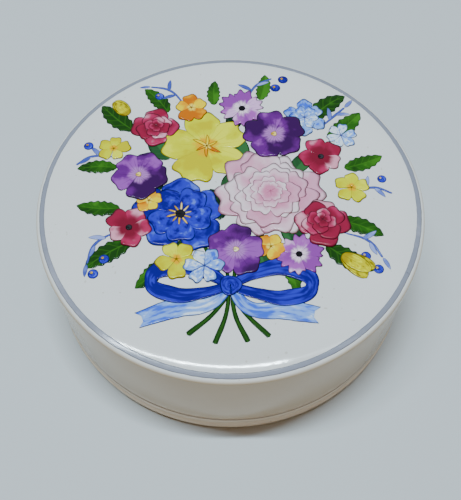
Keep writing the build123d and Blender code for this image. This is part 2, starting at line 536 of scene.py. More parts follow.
pile_cotton, tree, shader = new_material("pile_cotton")
fluff = speckle(tree, 1500, 3.0)
mottle = fluff * 0.6 + speckle(tree, 80, 2.0) * 0.4
paint(shader, blend_colour(tree, mottle, (0.78, 0.62, 0.64), (0.93, 0.86, 0.85)),
      fluff * 0.1 + 0.85, bump(tree, fluff, 0.6, 0.1 * mm))
shader.inputs["Sheen Weight"].default_value = 0.5
pile_piece = shaped("cotton_pile", section_curve("pad_outline", [
    (0, pile_high.z - 0.05, 0),
    (pad_radius, pile_high.z - 0.05, 1.0),
    (pad_radius, pile_low.z + tuft_length * 0.9, 2.4),
    (0, pile_low.z + tuft_length * 0.9, 0),
]), pile, Density=1250000.0, Length=tuft_length * mm, Thick=0.45 * mm, Seed=12,
    Finish=pile_cotton)
seated(pile_piece, "puff_body", node="puff_pile")

card_low, card_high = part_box("puff_card")
refinish("puff_card", card_stock("backing_board", (0.42, 0.38, 0.31), (0.33, 0.29, 0.23),
                                 (0.60, 0.56, 0.48), (card_low.z, card_high.z)))

cover_low, cover_high = (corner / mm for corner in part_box("puff_cover"))
cover_roll = 1.2
gathered, into = shape_tree("gathered_cover", Radius="Float", Foot="Float", Roll="Float",
                            Thick="Float", Pleats="Float", Gather="Float")
across, along = attribute(gathered, "across"), attribute(gathered, "along")
flat_share = 0.88
corner = (along - flat_share).math("MAXIMUM", 0.0) * (pi / 2 / (1 - flat_share))
inner = into["Radius"] - into["Roll"]
pleat = ((across * pi * into["Pleats"]).math("COSINE")
         * (0.5 + noise_at(gathered, place(gathered, across * 30.0, 0.0, 0.0), 1.0))
         * along.ramp(0.62, 0.90) * along.ramp(0.985, 1.0, 1.0, 0.0) * into["Gather"])
reach_out = inner * along.math("MINIMUM", flat_share) / flat_share + into["Roll"] * corner.math("SINE")
rise = into["Foot"] + into["Roll"] * corner.math("COSINE") - into["Gather"] + pleat
lining = into["Thick"] * (1.0 - along ** 60)
near = reach_out - lining * corner.math("SINE")
bearing = across * pi
close_tree(gathered, closed_skin(
    gathered, petal_grid(gathered, 481, 49),
    place(gathered, reach_out * bearing.math("COSINE"), reach_out * bearing.math("SINE"), rise),
    place(gathered, near * bearing.math("COSINE"), near * bearing.math("SINE"),
          rise - lining * corner.math("COSINE"))), into["Finish"])


def satin_weave(name, pale, deep, sheen, ribs):
    """Satin: fine ribs of yarn, soft cloudy shade where it has been handled, and a silky sheen."""
    material, tree, shader = new_material(name)
    x, y, z = split(tree, step(tree, "ShaderNodeTexCoord", output="Object"))
    yarn = (y * (2 * pi) / ribs).math("SINE") * 0.5 + 0.5
    cloud = speckle(tree, 130, 3.0, stretch=(1, 3, 1))
    paint(shader, blend_colour(tree, cloud * 0.8 + yarn * 0.2, deep, pale), cloud * 0.15 + 0.28,
          bump(tree, yarn + speckle(tree, 3000, 1.0) * 0.5, 0.35, 0.02 * mm))
    shader.inputs["Sheen Weight"].default_value = sheen
    shader.inputs["Anisotropic"].default_value = 0.5
    return material


blush = satin_weave("blush_satin", (0.86, 0.54, 0.60), (0.68, 0.34, 0.42), 0.4, 0.22 * mm)
cover = shaped("satin_cover", bpy.data.meshes.new("cover_start"), gathered,
               Radius=(cover_high.x - 0.05) * mm, Foot=(cover_low.z + 0.02) * mm,
               Roll=cover_roll * mm, Thick=0.25 * mm, Pleats=56.0, Gather=0.15 * mm, Finish=blush)
seated(cover, "puff_body", node="puff_cover")

sewing, into = shape_tree("stitches", Length="Float", Thick="Float", Spacing="Float")
spots = step(sewing, "GeometryNodeCurveToPoints",
             {"Curve": into["Geometry"], "Length": into["Spacing"]}, mode="LENGTH")
sewn = sewing.nodes[-1]
stitch = step(sewing, "GeometryNodeMeshUVSphere", {"Segments": 8, "Rings": 5, "Radius": 0.5})
stitch = step(sewing, "GeometryNodeTransform",
              {"Geometry": stitch, "Scale": place(sewing, into["Thick"], into["Thick"], into["Length"])})
stitches = step(sewing, "GeometryNodeInstanceOnPoints",
                {"Points": spots, "Instance": stitch, "Rotation": Wire(sewn.outputs["Rotation"])})
close_tree(sewing, stitches, into["Finish"])

ribbon_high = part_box("puff_ribbon")[1] / mm
ribbon_half = ribbon_high.x - 0.15
ribbon_tip = ribbon_high.y - 0.1
slope_foot, slope_head = 20.6, 12.6
arched, into = shape_tree("arched_ribbon", Half="Float", Tip="Float", Seat="Float", Rise="Float",
                          Foot="Float", Head="Float", Thick="Float")
across, along = attribute(arched, "across"), attribute(arched, "along")
y = (along * 2.0 - 1.0) * into["Tip"]
x = across * into["Half"]
ease = 1.0 - ((abs(y) - into["Head"]) / (into["Foot"] - into["Head"])).math("MAXIMUM", 0.0).math(
    "MINIMUM", 1.0)
arch = ease * ease * (3.0 - ease * 2.0)
buckle = (1.0 - across * across) * arch * 0.25 * mm
picot = (along * 260.0).math("SINE") * across * abs(across) ** 6 * 0.10 * mm
rise = into["Seat"] + into["Rise"] * arch + buckle
lining = into["Thick"] * (1.0 - abs(across) ** 24) * (1.0 - abs(along * 2.0 - 1.0) ** 60)
x = (x + picot) * full_width(along) * -1.0
close_tree(arched, closed_skin(arched, petal_grid(arched, 17, 281),
                               place(arched, x, y, rise + lining), place(arched, x, y, rise)),
           into["Finish"])
royal = satin_weave("royal_ribbon", (0.05, 0.10, 0.55), (0.015, 0.03, 0.34), 0.3, 0.45 * mm)
ribbon = shaped("finger_ribbon", bpy.data.meshes.new("ribbon_start"), arched,
                Half=ribbon_half * mm, Tip=ribbon_tip * mm, Seat=(cover_high.z + 0.02) * mm,
                Rise=(ribbon_high.z - cover_high.z - 0.62) * mm, Foot=slope_foot * mm,
                Head=slope_head * mm, Thick=0.28 * mm, Finish=royal)
seated(ribbon, "puff_body", node="puff_ribbon")


def ring_line(name, radius, height):
    """A round sewing line at a height."""
    curve = bpy.data.curves.new(name, "CURVE")
    curve.dimensions = "3D"
    line = curve.splines.new("POLY")
    line.points.add(179)
    for k, knot in enumerate(line.points):
        turn = 2 * pi * k / 180
        knot.co = (radius * cos(turn) * mm, radius * sin(turn) * mm, height * mm, 1)
    line.use_cyclic_u = True
    return curve


def box_line(name, rows):
    """Closed sewing lines through corner points (x, y, z), one line for each row."""
    curve = bpy.data.curves.new(name, "CURVE")
    curve.dimensions = "3D"
    for corners in rows:
        line = curve.splines.new("POLY")
        line.points.add(len(corners) - 1)
        for knot, (x, y, z) in zip(line.points, corners):
            knot.co = (x * mm, y * mm, z * mm, 1)
        line.use_cyclic_u = True
    return curve


thread, tree, shader = new_material("sewing_thread")
ply = speckle(tree, 4000, 1.0, stretch=(1, 1, 3))
paint(shader, blend_colour(tree, ply, (0.55, 0.28, 0.36), (0.80, 0.55, 0.62)), ply * 0.1 + 0.5)
hem = shaped("cover_stitching", ring_line("hem_line", cover_high.x - 4.6, cover_high.z - 0.16),
             sewing, Length=0.95 * mm, Thick=0.18 * mm, Spacing=1.5 * mm, Finish=thread)
edge_x, inner_y, outer_y = ribbon_half - 1.0, slope_foot + 1.0, ribbon_tip - 1.0
seam_height = cover_high.z + 0.30
tack = shaped("ribbon_stitching", box_line("tack_line", [
    [(-edge_x, end * inner_y, seam_height), (edge_x, end * inner_y, seam_height),
     (edge_x, end * outer_y, seam_height), (-edge_x, end * outer_y, seam_height)]
    for end in (-1, 1)]), sewing, Length=0.85 * mm, Thick=0.16 * mm, Spacing=1.2 * mm,
    Finish=thread)
for sewn_piece in (hem, tack):
    seated(sewn_piece, "puff_body")


# ==== Lid ==================================================================================
# The deep porcelain cap that slides down over the collar. Its crown is flat, falls away slowly
# near the edge and turns tightly into a plain upright skirt, whose foot is left unglazed.

fall = radians(11.5)
rim = 1.35
land_outer = skirt - rim * (1 - sin(fall))
land_inner = land_outer - 1.3
shoulder_arc = 30.0
shoulder = land_inner - shoulder_arc * tan(fall / 2) * cos(fall)
crown = lid_high.z
rim_height = crown - (skirt - shoulder) * tan(fall)

lid_glaze = glaze("lid_glaze", crown_height=(crown - 0.35) * mm, joint=joint,
                  bare_bands=[(0, (lid_low.z + 0.2) * mm, 0)])
lid = turned("lid_porcelain", [
    (0, crown, 0),
    (shoulder, crown, shoulder_arc),
    (skirt, rim_height, rim),
    (skirt, lid_low.z, 0.6),
    (skirt - lid_wall, lid_low.z, 0.6),
    (skirt - lid_wall, crown - 3.4, 2.5),
    (0, crown - 3.4, 0),
], lid_glaze, steps=14)
seated(lid, "lid_body", node="lid")


# ==== Printed flowers ======================================================================
# The decoration on the crown is a transfer print in ceramic colours, fired onto the glaze: a
# posy of garden flowers tied with a bow. Each petal, leaf and length of ribbon is a closed
# film of colour that stands a few hundredths of a millimetre proud and follows the crown.

arc_start = land_inner - shoulder_arc * sin(fall)
arc_reach = shoulder_arc * sin(fall)


def crown_height(tree, x, y):
    """Height of the crown at a place: flat, then the slow shoulder, then the sloping land."""
    radius = (x * x + y * y) ** 0.5
    over = (radius - arc_start * mm).math("MAXIMUM", 0.0).math("MINIMUM", arc_reach * mm)
    arc = shoulder_arc * mm
    drop = arc - (arc * arc - over * over) ** 0.5
    slope = (radius - land_inner * mm).math("MAXIMUM", 0.0) * tan(fall)
    return crown * mm - drop - slope


def film(tree, flat, x, y, lay, relief, rim):
    """Lay a flat grid on the crown as a closed film of colour."""
    bed = crown_height(tree, x, y) + lay
    return closed_skin(tree, keep(tree, flat, rim=rim), place(tree, x, y, bed + relief),
                       place(tree, x, y, bed))


# ---- Round petals: fans about a flower's centre, from points with a turn, size and layer ----
bloom, into = shape_tree("round_petals", Petals="Int", Length="Float", Spread="Float",
                         Round="Float", Full="Float", Wave="Float", Waves="Float", Uneven="Float",
                         Relief="Float", Step="Float", Columns="Int", Rows="Int", Seed="Int")
copies = bloom.nodes.new("GeometryNodeDuplicateElements")
copies.domain = "POINT"
plug(into["Geometry"], copies.inputs["Geometry"])
plug(into["Petals"], copies.inputs["Amount"])
petal_number = Wire(copies.outputs["Duplicate Index"])
jitter = step(bloom, "FunctionNodeRandomValue", {"Seed": into["Seed"]}, output=1, data_type="FLOAT")
chance = step(bloom, "FunctionNodeRandomValue", {"Seed": into["Seed"] + 7}, output=1,
              data_type="FLOAT")
cx, cy = split(bloom, step(bloom, "GeometryNodeInputPosition"))[:2]
petals = keep(bloom, Wire(copies.outputs["Geometry"]), cx=cx, cy=cy, tone=chance,
              bearing=attribute(bloom, "turn") + petal_number * (2 * pi) / into["Petals"]
              + (jitter - 0.5) * into["Uneven"],
              lay=attribute(bloom, "layer") + petal_number * into["Step"])
fans = step(bloom, "GeometryNodeInstanceOnPoints",
            {"Points": petals, "Instance": petal_grid(bloom, into["Columns"], into["Rows"])})
fans = step(bloom, "GeometryNodeRealizeInstances", {"Geometry": fans})
across, along = attribute(bloom, "across"), attribute(bloom, "along")
tone = attribute(bloom, "tone")
outline = (1.0 - abs(across) ** into["Round"]).math("MAXIMUM", 0.0) ** into["Full"]
wave = 1.0 + (across * into["Waves"] + tone * 30.0).math("SINE") * into["Wave"] * along
reach_out = into["Length"] * attribute(bloom, "size") * outline * wave * (0.9 + tone * 0.2)
radius = reach_out * along
bearing = attribute(bloom, "bearing") + across * into["Spread"]
near_rim = ((1.0 - along) * reach_out).math(
    "MINIMUM", radius * (1.0 - abs(across)) * into["Spread"])
parted = ((pi - into["Spread"]) * 1000.0).math("MINIMUM", 1.0).math("MAXIMUM", 0.0)
swell = along * (1.0 - along) * 4.0 * (1.0 - across * across * parted) * into["Relief"]
close_tree(bloom, film(bloom, fans, attribute(bloom, "cx") + radius * bearing.math("COSINE"),
                       attribute(bloom, "cy") + radius * bearing.math("SINE"),
                       attribute(bloom, "lay"), swell, near_rim), into["Finish"])

# ---- Long petals and leaves: blades on a bent midrib, from points with a bend as well --------
blade, into = shape_tree("long_petals", Length="Float", Width="Float", Base="Float", Tip="Float",
                         Teeth="Float", Notches="Float", Relief="Float", Columns="Int",
                         Rows="Int", Seed="Int")
cx, cy = split(blade, step(blade, "GeometryNodeInputPosition"))[:2]
chance = step(blade, "FunctionNodeRandomValue", {"Seed": into["Seed"]}, output=1,
              data_type="FLOAT")
roots = keep(blade, into["Geometry"], cx=cx, cy=cy, tone=chance)
fans = step(blade, "GeometryNodeInstanceOnPoints",
            {"Points": roots, "Instance": petal_grid(blade, into["Columns"], into["Rows"])})
fans = step(blade, "GeometryNodeRealizeInstances", {"Geometry": fans})
across, along = attribute(blade, "across"), attribute(blade, "along")
tone, size, bend = (attribute(blade, name) for name in ("tone", "size", "bend"))
bend = bend + 0.001
half_width = along ** into["Base"] * (1.0 - along) ** into["Tip"] * into["Width"] * size
half_width = half_width * (1.0 + (along * into["Notches"]).math("SINE") * into["Teeth"])
sideways = half_width * across
turned_by = attribute(blade, "turn") + bend * along
spine = into["Length"] * size / bend
start = attribute(blade, "turn")
x = (attribute(blade, "cx") + spine * (turned_by.math("SINE") - start.math("SINE"))
     - sideways * turned_by.math("SINE"))
y = (attribute(blade, "cy") - spine * (turned_by.math("COSINE") - start.math("COSINE"))
     + sideways * turned_by.math("COSINE"))
swell = along * (1.0 - along) * 4.0 * (1.0 - across * across) * into["Relief"]
close_tree(blade, film(blade, fans, x, y, attribute(blade, "layer"), swell,
                       (1.0 - abs(across)) * half_width), into["Finish"])

# ---- Bands: ribbons, stems, tendrils and the painted line, along drawn curves ----------------
band, into = shape_tree("bands", Width="Float", Layer="Float", Climb="Float", Relief="Float",
                        Wobble="Float", Tail="Float", Count="Int", Columns="Int")
ridge = step(band, "GeometryNodeResampleCurve", {"Curve": into["Geometry"], "Count": into["Count"]})
spot = step(band, "GeometryNodeInputPosition")
unsteady = step(band, "ShaderNodeTexNoise", {"Vector": spot, "Scale": 400.0, "Detail": 1.0})
roll = attribute(band, "tilt").math("COSINE")
tx, ty = split(band, step(band, "GeometryNodeInputTangent"))[:2]
ridge = keep(band, ridge, roll=roll, tone=roll * 0.5 + 0.5, tx=tx, ty=ty,
             along=step(band, "GeometryNodeSplineParameter"))
ridge = step(band, "GeometryNodeSetCurveTilt", {"Curve": ridge, "Tilt": 0.0})
half_width = (attribute(band, "radius") * into["Width"] * abs(attribute(band, "roll")).math(
    "MAXIMUM", 0.08) * (1.0 + (unsteady - 0.5) * into["Wobble"]))
square_end = (into["Tail"] * 1000000.0).math("MINIMUM", 1.0)
half_width = half_width * full_width(attribute(band, "along")).math("MAXIMUM", square_end)
ridge = keep(band, ridge, half=half_width)
ridge = step(band, "GeometryNodeSetCurveNormal", {"Curve": ridge}, mode="Z_UP")
edge = step(band, "GeometryNodeCurvePrimitiveLine", {"Start": (-1, 0, 0), "End": (1, 0, 0)})
edge = step(band, "GeometryNodeResampleCurve", {"Curve": edge, "Count": into["Columns"]})
edge = keep(band, edge, across=split(band, step(band, "GeometryNodeInputPosition"))[0])
flat = step(band, "GeometryNodeCurveToMesh", {"Curve": ridge, "Profile Curve": edge,
                                             "Scale": attribute(band, "half")})
x, y, z = split(band, step(band, "GeometryNodeInputPosition"))
across, along = attribute(band, "across"), attribute(band, "along")
ends = along.ramp(0.0, 0.01) * along.ramp(0.99, 1.0, 1.0, 0.0)
swell = (1.0 - across * across) * ends * into["Relief"]
notch = along.ramp(0.0, 0.06, 1.0, 0.0) - along.ramp(0.94, 1.0)
notch = notch * (1.0 - abs(across)) * into["Tail"]
flat = step(band, "GeometryNodeSetPosition", {"Geometry": flat, "Offset": place(
    band, attribute(band, "tx") * notch, attribute(band, "ty") * notch, 0.0)})
flat = step(band, "GeometryNodeTriangulate", {"Mesh": flat}, quad_method="LONGEST_DIAGONAL")
close_tree(band, film(band, flat, x, y, into["Layer"] + along * into["Climb"], swell,
                      (1.0 - abs(across)) * attribute(band, "half")), into["Finish"])


def marks(name, rows):
    """A vertex for each (x, y, turn in degrees, size, layer, bend in degrees), for the trees."""
    spots = bpy.data.meshes.new(name)
    spots.from_pydata([(x * mm, y * mm, 0) for x, y, *rest in rows], [], [])
    columns = {"turn": [radians(row[2]) for row in rows], "size": [row[3] for row in rows],
               "layer": [row[4] * film_step for row in rows],
               "bend": [radians(row[5]) if len(row) > 5 else 0.0 for row in rows]}
    for label, values in columns.items():
        spots.attributes.new(label, "FLOAT", "POINT").data.foreach_set("value", values)
    return spots


def drawn(name, lines):
    """Smooth curves through placed points (x, y, half width, roll in degrees)."""
    curve = bpy.data.curves.new(name, "CURVE")
    curve.dimensions = "3D"
    for points in lines:
        line = curve.splines.new("BEZIER")
        line.bezier_points.add(len(points) - 1)
        line.resolution_u = 16
        for knot, (x, y, half, roll) in zip(line.bezier_points, points):
            knot.co = (x * mm, y * mm, 0)
            knot.handle_left_type = knot.handle_right_type = "AUTO"
            knot.radius = half
            knot.tilt = radians(roll)
    return curve


def printed(piece):
    """A film of the print goes with the lid."""
    return seated(piece, "lid_body")


film_step = 0.012 * mm


def round_flower(name, rows, finish, petals=5, length=5.0, spread=50, full=0.45, power=3.0,
                 wave=0.05, waves=7.0, uneven=12, columns=15, lines=9, seed=1):
    return printed(shaped(name, marks(name, rows), bloom, Petals=petals, Length=length * mm,
                          Spread=radians(spread), Round=power, Full=full, Wave=wave, Waves=waves,
                          Uneven=radians(uneven), Relief=0.010 * mm, Step=0.0008 * mm,
                          Columns=columns, Rows=lines, Seed=seed, Finish=finish))


def dots(name, rows, finish, length, **shape):
    """Round spots of the print: flower eyes, berries and the knot."""
    return round_flower(name, rows, finish, petals=1, length=length, spread=180, full=0.0,
                        **{"wave": 0.0, **shape})


def long_flower(name, rows, finish, length=10.0, width=3.0, base=0.6, tip=0.8, teeth=0.0,
                notches=40.0, columns=9, lines=19, seed=1):
    peak = base / (base + tip)
    widest = peak ** base * (1 - peak) ** tip
    return printed(shaped(name, marks(name, rows), blade, Length=length * mm,
                          Width=width * mm / widest, Base=base, Tip=tip, Teeth=teeth,
                          Notches=notches, Relief=0.010 * mm, Columns=columns, Rows=lines,
                          Seed=seed, Finish=finish))


def brushed(name, lines, finish, layer, climb=1.0, wobble=0.3, count=120, columns=7, tail=0.0):
    return printed(shaped(name, drawn(name, lines), band, Width=1.0 * mm, Layer=layer * film_step,
                          Climb=climb * film_step, Relief=0.010 * mm, Wobble=wobble, Tail=tail * mm,
                          Count=count, Columns=columns, Finish=finish))


def colour_wash(name, pale, body, deep, heart=None, heart_reach=0.35, ink=(0.05, 0.03, 0.05),
                line=0.30, strength=0.8, midrib=False, veins=0.0, pool=0.5, scale=130,
                folds=False):
    """A watercolour wash under gloss: pale and deep pools, a heart, veins and an inked outline."""
    material, tree, shader = new_material(name)
    along, across, tone, rim = (step(tree, "ShaderNodeAttribute", output=2, attribute_name=label)
                                for label in ("along", "across", "tone", "rim"))
    water = speckle(tree, scale, 2.0)
    grain = speckle(tree, 700, 2.0)
    wet = water + (tone - 0.5) * 0.35 + (grain - 0.5) * 0.12
    if folds:
        streak = noise_at(tree, place(tree, across * 2.2, along * 5.0, tone * 9.0), 1.0)
        wet = wet * 0.45 + streak * 0.55
    colour = blend_colour(tree, wet.ramp(pool - 0.02, pool + 0.10), body, deep)
    colour = blend_colour(tree, wet.ramp(pool - 0.14, pool - 0.04, 1.0, 0.0), colour, pale)
    if heart:
        spread = (along + (grain - 0.5) * 0.25).ramp(heart_reach * 0.5, heart_reach, 1.0, 0.0)
        colour = blend_colour(tree, spread, colour, heart)
    if veins:
        vein = (across * veins).math("COSINE").ramp(0.86, 1.0) * along.ramp(0.2, 0.9, 0.75, 0.0)
        colour = blend_colour(tree, vein, colour, deep)
    if midrib:
        side = blend_colour(tree, across.ramp(-0.05, 0.05) * 0.5, colour, deep)
        rib = abs(across).ramp(0.03, 0.10, 0.6, 0.0)
        ribs = (along * 34.0 - abs(across) * 7.0).math("SINE").ramp(0.75, 1.0, 0.0, 0.35)
        colour = blend_colour(tree, rib.math("MAXIMUM", ribs), side, pale)
    pressed = (grain - 0.5) * 0.16 * mm
    outline = (rim + pressed).ramp(line * 0.45 * mm, line * mm, strength, 0.0)
    paint(shader, blend_colour(tree, outline, colour, ink), grain * 0.10 + 0.08,
          bump(tree, grain, 0.25, 0.02 * mm))
    shader.inputs["IOR"].default_value = 1.52
    shader.inputs["Specular IOR Level"].default_value = 0.3
    return material


ultramarine = colour_wash("ultramarine", (0.11, 0.19, 0.80), (0.025, 0.03, 0.58),
                          (0.008, 0.002, 0.22), ink=(0.003, 0.003, 0.08), scale=90, folds=True)
sky = colour_wash("sky_blue", (0.72, 0.86, 1.0), (0.22, 0.42, 0.95), (0.04, 0.13, 0.80),
                  ink=(0.01, 0.03, 0.35), scale=80, folds=True, pool=0.56)
violet = colour_wash("violet", (0.33, 0.08, 0.46), (0.13, 0.012, 0.22), (0.04, 0.003, 0.08),
                     heart=(0.45, 0.18, 0.56), heart_reach=0.45, ink=(0.02, 0.0, 0.05), veins=16)
mauve = colour_wash("mauve", (0.75, 0.45, 0.80), (0.42, 0.10, 0.50), (0.28, 0.05, 0.38),
                    heart=(0.90, 0.74, 0.88), heart_reach=0.5, ink=(0.10, 0.01, 0.14), veins=12)
peony = colour_wash("peony_pink", (0.84, 0.70, 0.78), (0.82, 0.56, 0.68), (0.74, 0.36, 0.52),
                    heart=(0.66, 0.22, 0.38), heart_reach=0.92, ink=(0.40, 0.08, 0.18),
                    strength=0.55, veins=14, pool=0.55)
rose = colour_wash("rose_pink", (0.78, 0.34, 0.46), (0.46, 0.03, 0.11), (0.30, 0.012, 0.05),
                   heart=(0.20, 0.008, 0.03), heart_reach=0.8, ink=(0.10, 0.005, 0.02))
lemon = colour_wash("lemon", (0.84, 0.86, 0.03), (0.70, 0.72, 0.0), (0.60, 0.54, 0.0),
                    heart=(0.85, 0.40, 0.0), heart_reach=0.36, ink=(0.30, 0.20, 0.0),
                    strength=0.75, veins=12)
ochre = colour_wash("ochre", (0.82, 0.82, 0.01), (0.62, 0.56, 0.0), (0.25, 0.19, 0.0),
                    heart=(0.40, 0.30, 0.0), ink=(0.16, 0.10, 0.0), strength=0.75, veins=9,
                    scale=150, folds=True)
orange = colour_wash("orange", (0.95, 0.70, 0.0), (0.85, 0.36, 0.0), (0.60, 0.15, 0.0),
                     heart=(0.95, 0.75, 0.1), ink=(0.25, 0.08, 0.0))
leaf_green = colour_wash("leaf_green", (0.045, 0.20, 0.012), (0.018, 0.11, 0.006),
                         (0.006, 0.05, 0.003), ink=(0.0, 0.02, 0.0), midrib=True)
bottle_green = colour_wash("bottle_green", (0.03, 0.14, 0.04), (0.008, 0.06, 0.02),
                           (0.0, 0.02, 0.008), ink=(0.0, 0.01, 0.0), midrib=True)
dusk_blue = colour_wash("dusk_blue", (0.30, 0.38, 0.80), (0.14, 0.20, 0.62), (0.06, 0.09, 0.45),
                        ink=(0.03, 0.05, 0.30), line=0.15)
near_black = colour_wash("near_black", (0.03, 0.03, 0.04), (0.01, 0.01, 0.012),
                         (0.004, 0.004, 0.006), ink=(0.002, 0.002, 0.003))
cream = colour_wash("cream_stamen", (1.0, 0.95, 0.7), (1.0, 0.85, 0.3), (0.8, 0.5, 0.05),
                    ink=(0.3, 0.15, 0.0))
lustre = colour_wash("grey_lustre", (0.42, 0.44, 0.53), (0.34, 0.36, 0.45), (0.26, 0.28, 0.36),
                     ink=(0.24, 0.25, 0.32), line=0.12, strength=0.3, scale=60)

# ---- The grey painted line on the land, laid by hand on a wheel: its two ends overlap ----
line_turn = radians(-32)
line_points = [(53.18 * cos(a), 53.18 * sin(a), 0.70, 0)
               for a in (line_turn + radians(365) * k / 48 for k in range(49))]
brushed("painted_line", [line_points], lustre, layer=1, climb=1, wobble=0.35, count=720, columns=7)

# ---- Stems, and the ribbon bow that ties them: two loops, two swallow-tailed ends, a knot ----
brushed("stems", [[(-9, -12, 0.55, 0), (-2, -27, 0.55, 0), (3.5, -36, 0.6, 0), (10, -43, 0.75, 0)],
                  [(9, -12, 0.55, 0), (1.5, -27, 0.5, 0), (-4, -36, 0.6, 0), (-11, -42.5, 0.75, 0)],
                  [(-3, -12, 0.55, 0), (-0.6, -28, 0.5, 0), (-1, -36, 0.6, 0), (-4, -45, 0.75, 0)],
                  [(3, -12, 0.55, 0), (0.8, -28, 0.5, 0), (1, -36, 0.6, 0), (4.5, -44.5, 0.75, 0)]],
        leaf_green, layer=1, climb=2, wobble=0.3)
brushed("bow_ends", [[(0, -29, 1.2, 0), (-6, -34, 2.2, 25), (-14, -35, 2.8, 0), (-24, -38.5, 2.7, 35)],
                     [(0, -29, 1.2, 0), (5, -35, 2.2, 25), (14, -35.5, 2.8, 0), (23, -37, 2.9, 35)]],
        sky, layer=5, climb=3, wobble=0.1, count=140, columns=13, tail=2.4)
brushed("bow_loops", [[(0, -28.6, 1.2, 0), (-7, -24.2, 2.3, 20), (-15.5, -22.6, 3.0, 0),
                       (-21, -27, 2.4, 45), (-15.5, -31.0, 2.4, 0), (-7, -30.6, 1.8, 25),
                       (0, -28.4, 1.1, 0)],
                      [(0, -28.6, 1.2, 0), (7, -30.8, 1.8, 25), (15, -32.0, 2.4, 0),
                       (21.5, -28.5, 2.4, 45), (17, -23.4, 3.0, 0), (7.5, -24.2, 2.3, 20),
                       (0, -28.4, 1.1, 0)]],
        ultramarine, layer=10, climb=5, wobble=0.1, count=240, columns=13)
dots("bow_knot", [(0, -28.4, 90, 1.0, 24)], ultramarine, 2.9, wave=0.08, waves=3 * pi,
     columns=25, seed=4)

# ---- Leaves, fanned out behind the posy, and darker ones deep between the flowers ----
long_flower("outer_leaves", [(29, 21, 34, 0.95, 1, 20), (30, -8, 348, 0.85, 1, -22),
                             (26, -16, 318, 0.95, 2, 18), (15, -20, 292, 0.7, 1, -18),
                             (-17, -20, 236, 0.8, 1, -14), (-27, -15, 205, 0.95, 1, 20),
                             (-31, -4, 186, 0.8, 2, -20), (-33, 10, 170, 0.75, 1, 24),
                             (-29, 24, 146, 0.95, 1, -20), (-19, 31, 118, 0.8, 2, 22),
                             (-5, 34, 98, 0.65, 1, -18), (9, 36, 70, 0.7, 2, 20),
                             (24, 28, 52, 1.0, 2, -22), (33, 10, 12, 0.8, 1, 18)],
            leaf_green, length=15.5, width=3.1, base=0.6, tip=0.75, teeth=0.10, notches=38,
            columns=11, lines=31, seed=2)
long_flower("inner_leaves", [(-3, -8, 95, 1.0, 5, 20), (-2, 2, 60, 0.9, 5, -20),
                             (2, 10, 80, 1.1, 5, 20), (18, 8, 60, 0.9, 5, -20),
                             (-20, 2, 120, 0.9, 5, 20), (6, -14, 300, 0.9, 5, -20),
                             (15, -8, 290, 1.0, 5, 16), (-9, -14, 215, 0.9, 5, 18),
                             (-18, 13, 130, 1.0, 5, -16), (0, 24, 70, 0.9, 5, 20)],
            bottle_green, length=11, width=2.9, base=0.6, tip=0.7, columns=11, seed=7)

# ---- Fine blue sprigs and berries at the outline ----
brushed("sprigs", [[(26, 24, 0.2, 0), (32, 30, 0.45, 0), (35, 33, 0.3, 0)],
                   [(31, -12, 0.2, 0), (38, -15, 0.45, 0), (41, -20, 0.3, 0)],
                   [(-30, -11, 0.2, 0), (-37, -16, 0.45, 0), (-38.5, -22, 0.3, 0)],
                   [(-14, 34, 0.2, 0), (-19, 40, 0.45, 0), (-25, 41.5, 0.3, 0)],
                   [(5, 36, 0.2, 0), (8, 42, 0.45, 0), (13, 45, 0.3, 0)],
                   [(-34, 14, 0.2, 0), (-41, 14, 0.45, 0), (-45, 11, 0.3, 0)],
                   [(34, 1, 0.2, 0), (41, 3, 0.45, 0), (46, 1, 0.3, 0)]],
        dusk_blue, layer=2, count=40, columns=5)
long_flower("sprig_leaves", [(30, 28, 80, 1.0, 3, 25), (32, 30, 15, 0.9, 3, -22),
                             (35, 33, 48, 0.9, 3, 10), (36, -14, 20, 1.0, 3, 24),
                             (38, -15, 280, 0.9, 3, 22), (41, -20, 300, 0.8, 3, -10),
                             (-34, -14, 165, 1.0, 3, 24), (-37, -16, 262, 0.9, 3, -22),
                             (-38.5, -22, 262, 0.8, 3, 10), (-17, 38, 190, 0.9, 3, 20),
                             (-19, 40, 98, 0.9, 3, -20), (-25, 41.5, 178, 0.7, 3, 12),
                             (6.5, 40, 140, 1.0, 3, 20), (8, 42, 30, 0.9, 3, -20),
                             (-38, 14, 122, 1.0, 3, 22), (-41, 14, 225, 0.9, 3, -18),
                             (38, 2.5, 60, 1.0, 3, 22), (41, 3, 320, 0.9, 3, -18)],
            dusk_blue, length=5.0, width=0.75, columns=7, lines=11, seed=31)
berry_spots = ((36.5, -19.5), (39.5, -23.5), (34.5, -23), (-34, -20.5), (-36.5, -25), (14, 41),
               (16.5, 44.5), (-22, 37.5), (-42, 18), (43.5, 6))
dots("berries", [(x, y, 0, 1.0, 6) for x, y in berry_spots], ultramarine, 1.45, columns=25)
dots("berry_lights", [(x - 0.4, y + 0.4, 0, 1.0, 9) for x, y in berry_spots], cream, 0.42,
     columns=13, lines=5)

# ---- The large flowers: a pale peony, ring within ring, a blue anemone and a yellow one ----
round_flower("peony", [(11, 1, 8, 1.00, 12), (11, 1, 44, 0.88, 14), (11.2, 1.2, 20, 0.72, 16),
                       (11.2, 1.4, 62, 0.55, 18), (11.3, 1.6, 31, 0.38, 20), (11.4, 1.7, 5, 0.24, 22)],
             peony, petals=6, length=14.8, spread=40, full=0.40, power=3.4, wave=0.06, waves=9,
             columns=21, lines=13, seed=5)
round_flower("blue_anemone", [(-14, -6, 92, 1.0, 11), (-14, -6, 128, 0.74, 13)], ultramarine,
             length=12.5, spread=44, full=0.38, power=3.4, wave=0.05, waves=7, columns=21,
             lines=13, seed=16)
long_flower("anemone_stamens", [(-14, -6, 36 * k + 9, 0.9 + 0.1 * (k % 3), 17, 12)
                                for k in range(10)],
            cream, length=3.8, width=0.34, base=0.4, tip=0.4, columns=5, lines=7)
